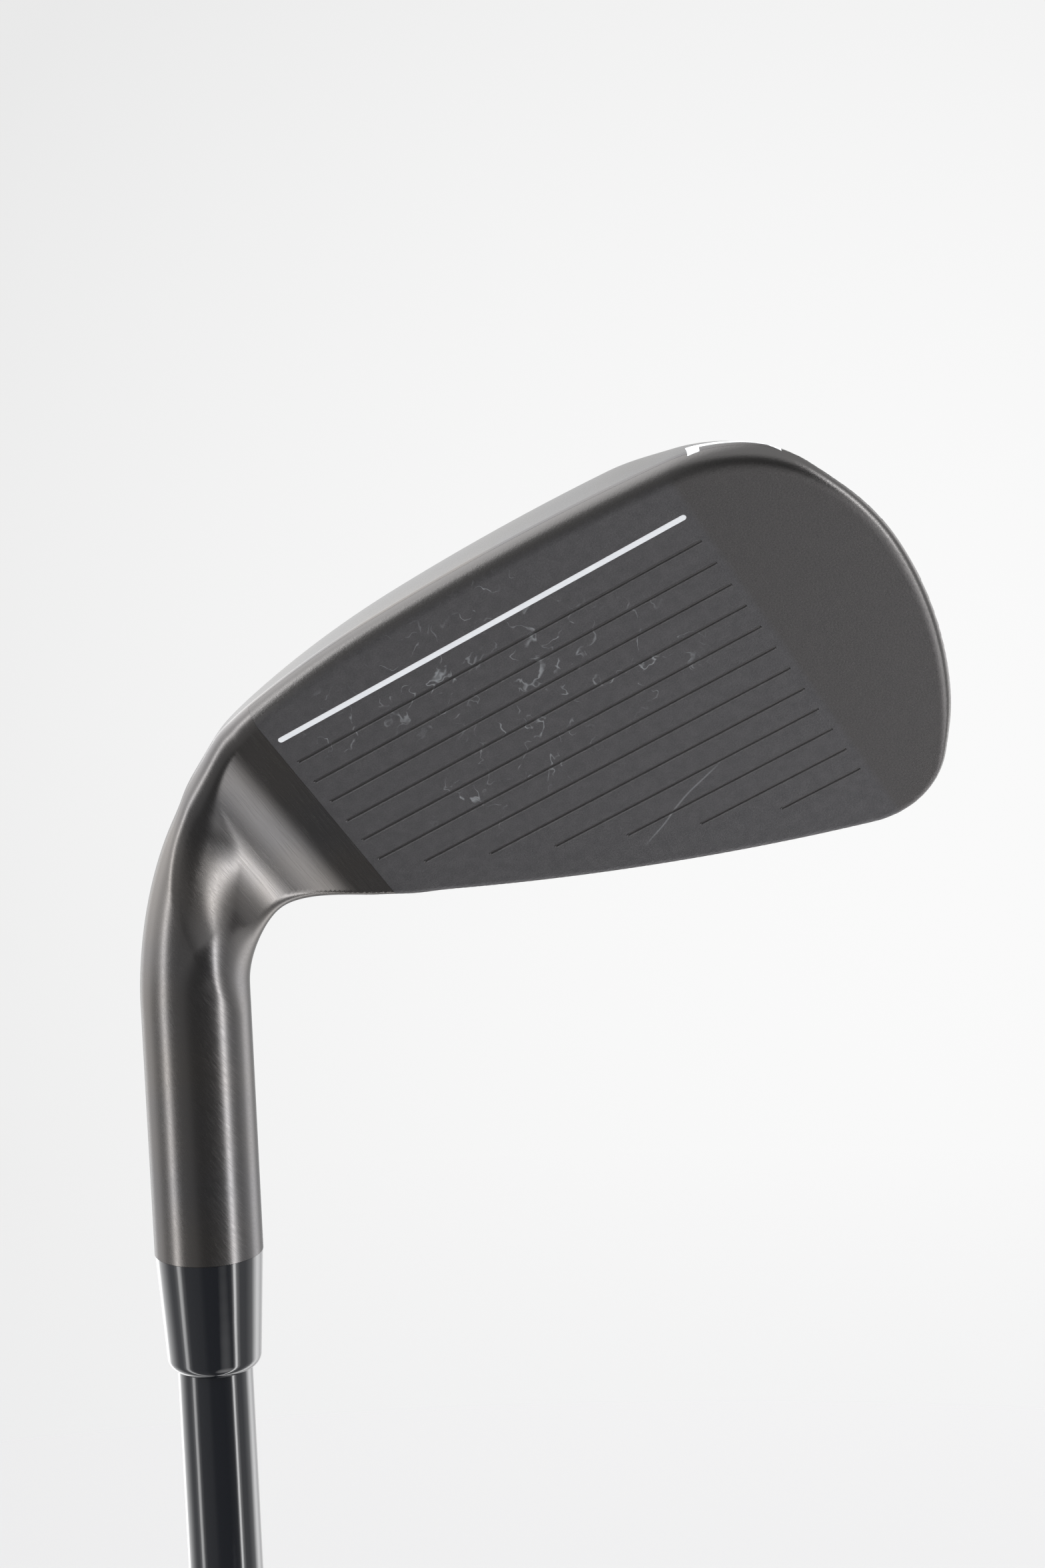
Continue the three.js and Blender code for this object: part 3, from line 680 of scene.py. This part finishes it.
def plain(name, colour, roughness, metallic=0.0):
    """A simple finish with a little grain, for the screw and the pieces inside the club."""
    look = Look(name, **{"Roughness": roughness, "Metallic": metallic, "Base Color": (*colour, 1)})
    speckle = look.noise(900, 3)
    dark = tuple(c * 0.8 for c in colour)
    look.wire("Base Color", look.blend(speckle, (*dark, 1), (*colour, 1)))
    look.bump(speckle, 0.02 * MM)
    return look.material


def grip_rubber():
    look = Look("grip_rubber", **{"Roughness": 0.7, "Base Color": (0.014, 0.014, 0.014, 1)})
    fine = look.noise(2500, 3)
    dust = look.noise(60, 4)
    look.wire("Base Color", look.blend(look.between(dust, 0.4, 0.8),
                                       (0.012, 0.012, 0.012, 1), (0.022, 0.021, 0.02, 1)))
    look.wire("Roughness", look.between(fine, 0.3, 0.7, 0.6, 0.8))
    look.bump(fine, 0.03 * MM)
    return look.material


# ---- the head's pieces ------------------------------------------------------------------
def head_blank():
    """The whole head as one solid, cut square at the hosel's end."""
    points, quads = skin(cut_head_distance, HEAD_LOW, HEAD_HIGH, SKIN_STEP)
    blank = mesh_object("head_blank", from_face(points), quads)
    low, high = (HOSEL_END - 9) * MM, HOSEL_END * MM
    half = 30 * MM
    points, faces = prism(box_outline(-half, -half, half, half), low, high)
    return boolean(blank, "DIFFERENCE", mesh_object("end", points, faces))


def cavity():
    points, quads = skin(cavity_distance, HEAD_LOW, HEAD_HIGH, CAVITY_STEP)
    return mesh_object("cavity", from_face(points), quads)


def cup_block(gap):
    """The face's own layer: everything toeward of the cup's heel edge, down to its depth."""
    side = box_outline(CUP_HEEL - gap, -CUP_BLOCK_REACH, CUP_BLOCK_TOE, CUP_BLOCK_REACH)
    return face_prism("cup_block", side, -CUP_BLOCK_REACH, CUP_DEPTH + gap)


def bore():
    points, faces = prism(circle(0, 0, BORE_RADIUS * MM, BORE_SIDES),
                          (HOSEL_END - OPEN) * MM, (HOSEL_END + BORE_DEPTH) * MM)
    return mesh_object("bore", points, faces)


UPPER_ARCS = ARCS[5:]    # the outline from the upper toe to the topline
ARC_STEP = 0.06          # radians between the points drawn on an arc


def badge_outline(inset):
    """The head's outline drawn in, above a straight lower edge."""
    low = BADGE_LOW + inset - BADGE_INSET
    points = []
    for (cs, cv), radius, middle, half in UPPER_ARCS:
        for angle in np.linspace(middle - half, middle + half, math.ceil(half * 2 / ARC_STEP) + 1):
            s = cs + (radius - inset) * math.cos(angle)
            v = cv + (radius - inset) * math.sin(angle)
            if s > BADGE_HEEL + inset and v > low:
                points.append((s, v))
    points.append((BADGE_HEEL + inset, low))
    points.append((points[0][0], low))
    return points


def digit_outline(grow):
    """The digit 7: its top bar along y, its stem toward +x, grown all round."""
    g, foot = grow, DIGIT_HEIGHT + grow
    return [(-g, -g), (DIGIT_BAR + g, -g), (DIGIT_BAR + g, STEM_TOP - g), (foot, STEM_FOOT - g),
            (foot, STEM_FOOT + STEM_WIDTH + g), (DIGIT_BAR, DIGIT_WIDTH + g), (-g, DIGIT_WIDTH + g)]


def digit_block(grow):
    """The digit carried out from its floor just under the sole, leaning as the sole does."""
    points, faces = prism(digit_outline(grow), -DIGIT_FLOOR - grow, DIGIT_OUT)
    along = np.array((math.cos(DIGIT_RISE), math.sin(DIGIT_RISE), 0))
    upright = np.array((0, 0, 1))
    inward = np.cross(upright, along)
    across = math.cos(DIGIT_LEAN) * upright + math.sin(DIGIT_LEAN) * inward
    outward = np.cross(along, across)
    placed = np.array(points) @ np.array((along, across, outward)) + DIGIT_AT
    return mesh_object("digit", from_face(placed), faces)


def port_frame(points):
    """Points standing on the muscle's slope at the port, z going out of it, to the row frame."""
    tilt = math.atan(MUSCLE_SLOPE)
    outward = np.array((0, math.sin(tilt), math.cos(tilt)))
    along = np.array((1, 0, 0))
    across = np.cross(outward, along)
    at = np.array((PORT_S, PORT_V, BACK_SOLE - MUSCLE_SLOPE * PORT_V))
    return from_face(np.array(points) @ np.array((along, across, outward)) + at)


def port_bar(name, radius, low, high, sides):
    points, faces = prism(circle(0, 0, radius, sides), low, high)
    return mesh_object(name, port_frame(points), faces)


def make_head():
    white = white_paint()
    whole = head_blank()
    recess = face_prism("recess", badge_outline(BADGE_INSET), BADGE_FLOOR, BADGE_OPEN)
    port = port_bar("port", PORT_RADIUS, -PORT_REACH, OPEN, BORE_SIDES)
    body = boolean(copy_of(whole, "head_body_skin"), "DIFFERENCE", cup_block(HAIRLINE), cavity(),
                   bore(), recess, port, digit_block(DIGIT_GAP))
    skin_normals(body)
    stands_for(body, "head_body", black_steel())

    slot = stadium(0, LINE_LENGTH, WHITE_LINE_V, WHITE_LINE_WIDTH / 2)
    lines = [face_prism("line", slot, -LINE_OPEN, WHITE_LINE_DEPTH)]
    heels = [0] * LINE_FULL + SHORT_LINE_HEELS
    lines += [score_cutter("line", heel, LINE_LENGTH, (i + 1) * LINE_PITCH, LINE_WIDTH)
              for i, heel in enumerate(heels)]
    cup = boolean(copy_of(whole, "face_cup_skin"), "INTERSECT", cup_block(0))
    boolean(cup, "DIFFERENCE", *lines, digit_block(DIGIT_GAP))
    skin_normals(cup)
    stands_for(cup, "face_cup", blasted_face())

    digit = boolean(whole, "INTERSECT", digit_block(0))
    digit.name = "sole_digit"
    skin_normals(digit)
    stands_for(digit, "sole_digit_paint", white)

    outline = stadium(0, LINE_LENGTH, WHITE_LINE_V, WHITE_LINE_WIDTH / 2 - LINE_PAINT_GAP)
    line = face_prism("white_line", outline, LINE_PAINT_GAP, WHITE_LINE_DEPTH - LINE_PAINT_FLOOR)
    stands_for(line, "score_line_paint", white)
    make_badge()
    make_screw()


def make_badge():
    """A satin black plate with a raised rim and fine ribs across its field."""
    badge = face_prism("badge", badge_outline(BADGE_INSET + BADGE_GAP), BADGE_FROM, BADGE_TO)
    sunk = badge_outline(BADGE_INSET + BADGE_RIM)
    boolean(badge, "DIFFERENCE", face_prism("field", sunk, BADGE_TO - BADGE_SUNK, BADGE_OPEN))
    points, quads = rib_sheet()
    ribs = mesh_object("ribs", from_face(points), quads)
    ribbed = badge_outline(BADGE_INSET + BADGE_RIM + RIB_MARGIN)
    boolean(ribs, "INTERSECT", face_prism("keep", ribbed, BADGE_FROM + RIB_ROOT, BADGE_TO))
    boolean(badge, "UNION", ribs)
    stands_for(badge, "back_badge", badge_metal())


def rib_sheet():
    """Bars of triangular section lying along the badge, one above another."""
    low, high = BADGE_TO - BADGE_SUNK - RIB_ROOT, BADGE_TO - RIB_BELOW
    foot = low + RIB_ROOT
    section = []
    rows = np.arange(BADGE_LOW, HEAD_HIGH[1], RIB_PITCH)
    for v in rows:
        section += [(v, foot), (v + RIB_PITCH / 2, high)]
    section += [(rows[-1] + RIB_PITCH, foot), (rows[-1] + RIB_PITCH, low), (rows[0], low)]
    n = len(section)
    points = [(s, v, d) for s in (HEAD_LOW[0], HEAD_HIGH[0]) for v, d in section]
    sides = [[i, n + i, n + (i + 1) % n, (i + 1) % n] for i in range(n)]
    return points, [list(range(n)), list(range(2 * n - 1, n - 1, -1))] + sides


def badge_metal():
    look = Look("badge_black", **{"Metallic": 0.7, "Base Color": (0.05, 0.05, 0.052, 1)})
    cloud = look.noise(120, 3)
    grain = look.noise(1.0, 2, 0.6, face_vector(look, (0.2, 4, 1)))
    look.wire("Base Color", look.blend(cloud, (0.042, 0.042, 0.044, 1), (0.058, 0.057, 0.058, 1)))
    look.wire("Roughness", look.between(grain, 0.3, 0.7, 0.28, 0.42))
    look.bump(grain, 0.004 * MM)
    return look.material


def make_screw():
    """The port's plug: a round screw with a six-sided socket."""
    screw = port_bar("screw", SCREW_RADIUS, -SCREW_SINK - SCREW_LENGTH, -SCREW_SINK, BORE_SIDES)
    socket = port_bar("socket", SOCKET_RADIUS, -SCREW_SINK - SOCKET_DEPTH, SOCKET_OPEN, SOCKET_SIDES)
    boolean(screw, "DIFFERENCE", socket)
    stands_for(screw, "port_screw", plain("screw_steel", (0.1, 0.095, 0.09), 0.35, 1.0))


# ---- ferrule, shaft and grip, in millimetres from the shaft's axis and from the butt ----
ROUND_SIDES = 96
FERRULE_LENGTH, FERRULE_RADIUS, FERRULE_BORE, FERRULE_GAP = 15, 6.7, 4.75, 0.05
NOSE_RADIUS, NOSE_ROUND, NOSE_STEPS = 5.9, 1.6, 12
SHAFT_BUTT, TAPER_FROM, TAPER_TO, SHAFT_TIP = 4.6, 285, 780, 902
BUTT_RADIUS, BUTT_BORE, TIP_RADIUS, TIP_BORE = 7.6, 6.2, 4.7, 3


def make_ferrule():
    """A collar that narrows from the hosel to a rounded nose round the shaft."""
    top = HOSEL_END - FERRULE_GAP
    nose = top - FERRULE_LENGTH
    profile = [(FERRULE_RADIUS, top), (FERRULE_BORE, top), (FERRULE_BORE, nose)]
    for i in range(NOSE_STEPS + 1):
        angle = math.pi / 2 * (1 - i / NOSE_STEPS)
        profile.append((NOSE_RADIUS - NOSE_ROUND + NOSE_ROUND * math.cos(angle),
                        nose + NOSE_ROUND * (1 - math.sin(angle))))
    ferrule = turned("ferrule_ring", [profile] * ROUND_SIDES)
    stands_for(ferrule, "ferrule", gloss_black("ferrule_black"))


def make_shaft():
    """A tube with a parallel butt and tip and a straight taper between them."""
    inside = [(TIP_BORE, SHAFT_TIP), (TIP_BORE, TAPER_TO),
              (BUTT_BORE, TAPER_FROM), (BUTT_BORE, SHAFT_BUTT)]
    outside = [(BUTT_RADIUS, SHAFT_BUTT), (BUTT_RADIUS, TAPER_FROM), (TIP_RADIUS, TAPER_TO)]
    profile = [(TIP_RADIUS, SHAFT_TIP)] + inside + outside
    shaft = turned("shaft_tube", [profile] * ROUND_SIDES)
    stands_for(shaft, "shaft", gloss_black("shaft_black"))


# The grip's outside, (z, radius) in mm from the butt: it swells toward the cap
GRIP_SHAPE = [(4.3, 13.3), (12.3, 13.0), (34.3, 12.0), (79.3, 11.4), (257, 9.9), (267, 9.4)]
GRIP_BORE, GRIP_LIP, LIP_LENGTH = 8.6, 8.9, 3
GRIP_SIDES, GRIP_STEP = ((300, 0.7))
KNURL_DEPTH, KNURL_STARTS, KNURL_PITCH = 0.3, 15, 336      # mm, grooves round, mm a turn
GROOVE_REACH, GROOVE_FADE = 0.42, 0.3                      # shares of the way between grooves
KNURLED, ZONE_FADE = [(20, 84), (96, 160), (172, 236)], 2  # mm from the butt
BAND_WIDTH, BAND_DEPTH, BAND_AWAY = 1.2, 0.35, 2.5         # grooves round, past each zone's ends
# The cap's outside as (radius, z): from its rim in over two shallow rings to the vent hole
CAP_FACE = [(13.3, 4), (13.3, 1.2), (12.9, 0.5), (12.1, 0), (10.2, 0), (9.9, 0.35), (9.3, 0.35),
            (9.0, 0), (3.6, 0), (3.3, 0.3), (1.9, 0.3), (1.2, 0.5)]
CAP_VENT, CAP_TOP = 1.2, 4


def grip_relief(angle, z):
    """How far the grip's skin lies below its outline: crossing helical grooves in three
    zones, and a groove round it at each end of every zone."""
    turn = KNURL_STARTS * angle
    twist = 2 * math.pi * KNURL_STARTS * z / KNURL_PITCH
    ridge = np.minimum(np.abs(np.sin((turn + twist) / 2)), np.abs(np.sin((turn - twist) / 2)))
    groove = smoothstep((GROOVE_REACH - ridge) / GROOVE_FADE)
    zone = sum(smoothstep((z - low) / ZONE_FADE) * smoothstep((high - z) / ZONE_FADE)
               for low, high in KNURLED)
    edges = [edge for low, high in KNURLED for edge in (low - BAND_AWAY, high + BAND_AWAY)]
    band = sum(smoothstep(1.5 - np.abs(z - edge) / (BAND_WIDTH / 2)) for edge in edges)
    return KNURL_DEPTH * groove * zone + BAND_DEPTH * np.minimum(band, 1)


def make_grip():
    """The rubber sleeve with its pattern, and the cap that closes the butt."""
    low, high = GRIP_SHAPE[0][0], GRIP_SHAPE[-1][0]
    heights = np.append(np.arange(low, high, GRIP_STEP), high)
    outline = np.interp(heights, *np.array(GRIP_SHAPE).T)
    inside = [(GRIP_LIP, high), (GRIP_BORE, high - LIP_LENGTH), (GRIP_BORE, low)]
    profiles = []
    for angle in 2 * math.pi * np.arange(GRIP_SIDES) / GRIP_SIDES:
        outside = outline - grip_relief(angle, heights)
        profiles.append(list(zip(outside, heights)) + inside)
    rubber = grip_rubber()
    stands_for(turned("grip_sleeve", profiles), "grip", rubber)
    cap = turned("cap_disc", [[(CAP_VENT, CAP_TOP)] + CAP_FACE] * ROUND_SIDES)
    stands_for(cap, "grip_cap", rubber)


def dress_hidden():
    """The pieces inside the head and under the grip keep their CAD shape."""
    looks = {
        "cavity_filler": plain("foam", (0.62, 0.57, 0.42), 0.9),
        "tungsten_weight": plain("tungsten", (0.3, 0.3, 0.31), 0.45, 1.0),
        "tip_weight": plain("tip_tungsten", (0.3, 0.3, 0.31), 0.45, 1.0),
        "grip_tape": plain("tape", (0.7, 0.66, 0.55), 0.9),
        "damping_pad": plain("pad", (0.7, 0.66, 0.55), 0.9),
    }
    for node, material in looks.items():
        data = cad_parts[node].data
        data.materials.clear()
        data.materials.append(material)


# ---- the studio -------------------------------------------------------------------------
FLOOR_LEVEL = -1 * MM
FLOOR_RADIUS, FLOOR_FADE = 3.0, 1.2     # metres: the floor fades into the backdrop
BRIGHTEST = 12                          # radiance of the strips, where the backdrop is 0.9
# Light around the object: degrees from the camera's side, toward its right, and radiance
ROOM = [
    (-180, 0.9), (-158, 1.6), (-150, 3.8), (-140, 5.0), (-130, 3.0), (-110, 2.0), (-98, 1.1),
    (-90, 0.75), (-80, 0.9), (-72, 2), (-68, 7), (-64, 7), (-58, 1.5), (-50, 0.55), (-20, 0.45),
    (-8, 0.24), (30, 0.2), (44, 0.3), (52, 0.5), (57, 3), (59, 12), (62, 12), (66, 3), (74, 0.9),
    (90, 0.75), (110, 1.5), (120, 4.0), (130, 5.0), (140, 3.4), (150, 1.8), (180, 0.9),
]
OVERHEAD, OVERHEAD_FROM, OVERHEAD_FULL = 1.2, 0.3, 0.6    # radiance; and sines of elevation
# Soft patches of light added to it: azimuth, elevation, half width where it is full and
# where it ends, in degrees, and radiance
PATCHES = [(-112, 42, 12, 60, 2.4), (34, -44, 0, 21, 3.0)]
# The backdrop as seen: brightest along one direction, a little below level. Its radiance
# is the first value 23 degrees off it, where the cosine is 0.92, and the second along it.
BACKDROP_CENTRE, BACKDROP, BACKDROP_COSINE = (-0.09, 0.98, -0.18), (0.82, 0.955), 0.92


def make_floor():
    """A pale disc just under the butt, unseen in reflections."""
    ring = circle(0, 0, FLOOR_RADIUS, ROUND_SIDES)
    points = [(x, y, FLOOR_LEVEL) for x, y in ring]
    floor = mesh_object("floor", points, [range(ROUND_SIDES)])
    look = Look("floor", **{"Roughness": 0.9, "Base Color": (0.4, 0.4, 0.404, 1)})
    far = look.add("ShaderNodeVectorMath", {0: look.place}, operation="LENGTH").outputs["Value"]
    look.wire("Alpha", look.between(far, FLOOR_FADE, FLOOR_RADIUS, 1.0, 0.0))
    floor.data.materials.append(look.material)
    floor.visible_glossy = False


def toward(azimuth, elevation):
    """Unit vector from the object, its azimuth in degrees from the camera's side."""
    turn, rise = math.radians(azimuth + CAMERA_AZIMUTH), math.radians(elevation)
    return (math.sin(turn) * math.cos(rise), -math.cos(turn) * math.cos(rise), math.sin(rise))


def make_world():
    """A white studio: a dark side behind the camera, two tall strips of light beside it,
    bright panels further round, soft patches, and a pale backdrop that only the camera sees."""
    world = bpy.data.worlds.new("studio")
    bpy.context.scene.world = world
    room = Nodes(world)
    direction = room.add("ShaderNodeTexCoord").outputs["Generated"]
    x, y, z = room.add("ShaderNodeSeparateXYZ", {0: direction}).outputs
    azimuth = room.math("ARCTAN2", x, room.math("MULTIPLY", y, -1.0))
    turns = room.math("ADD", room.math("DIVIDE", azimuth, 2 * math.pi), 0.5 - CAMERA_AZIMUTH / 360)
    sides = room.ramp(room.math("FRACT", turns),
                      [(0.5 + angle / 360, level / BRIGHTEST) for angle, level in ROOM])
    level = OVERHEAD / BRIGHTEST
    walls = room.blend(room.between(z, OVERHEAD_FROM, OVERHEAD_FULL), sides,
                       (level, level, level, 1))
    for azimuth, elevation, full, end, radiance in PATCHES:
        facing = room.add("ShaderNodeVectorMath", {0: direction, 1: toward(azimuth, elevation)},
                          operation="DOT_PRODUCT").outputs["Value"]
        patch = room.between(facing, math.cos(math.radians(end)), math.cos(math.radians(full)),
                             0.0, radiance / BRIGHTEST)
        walls = room.add("ShaderNodeVectorMath", {0: walls, 1: patch}, operation="ADD").outputs[0]
    lit = room.add("ShaderNodeVectorMath", {0: walls, "Scale": BRIGHTEST}, operation="SCALE")
    seen = room.add("ShaderNodeLightPath").outputs["Is Camera Ray"]
    central = room.add("ShaderNodeVectorMath", {0: direction, 1: BACKDROP_CENTRE},
                       operation="DOT_PRODUCT").outputs["Value"]
    pale = room.between(central, BACKDROP_COSINE, 1.0, *BACKDROP)
    colour = room.blend(seen, lit.outputs[0], room.vector(pale, pale, pale))
    room.links.new(colour, room.nodes["Background"].inputs["Color"])


make_camera()
bpy.context.scene.view_settings.view_transform = "Standard"
make_head()
make_ferrule()
make_shaft()
make_grip()
dress_hidden()
make_floor()
make_world()
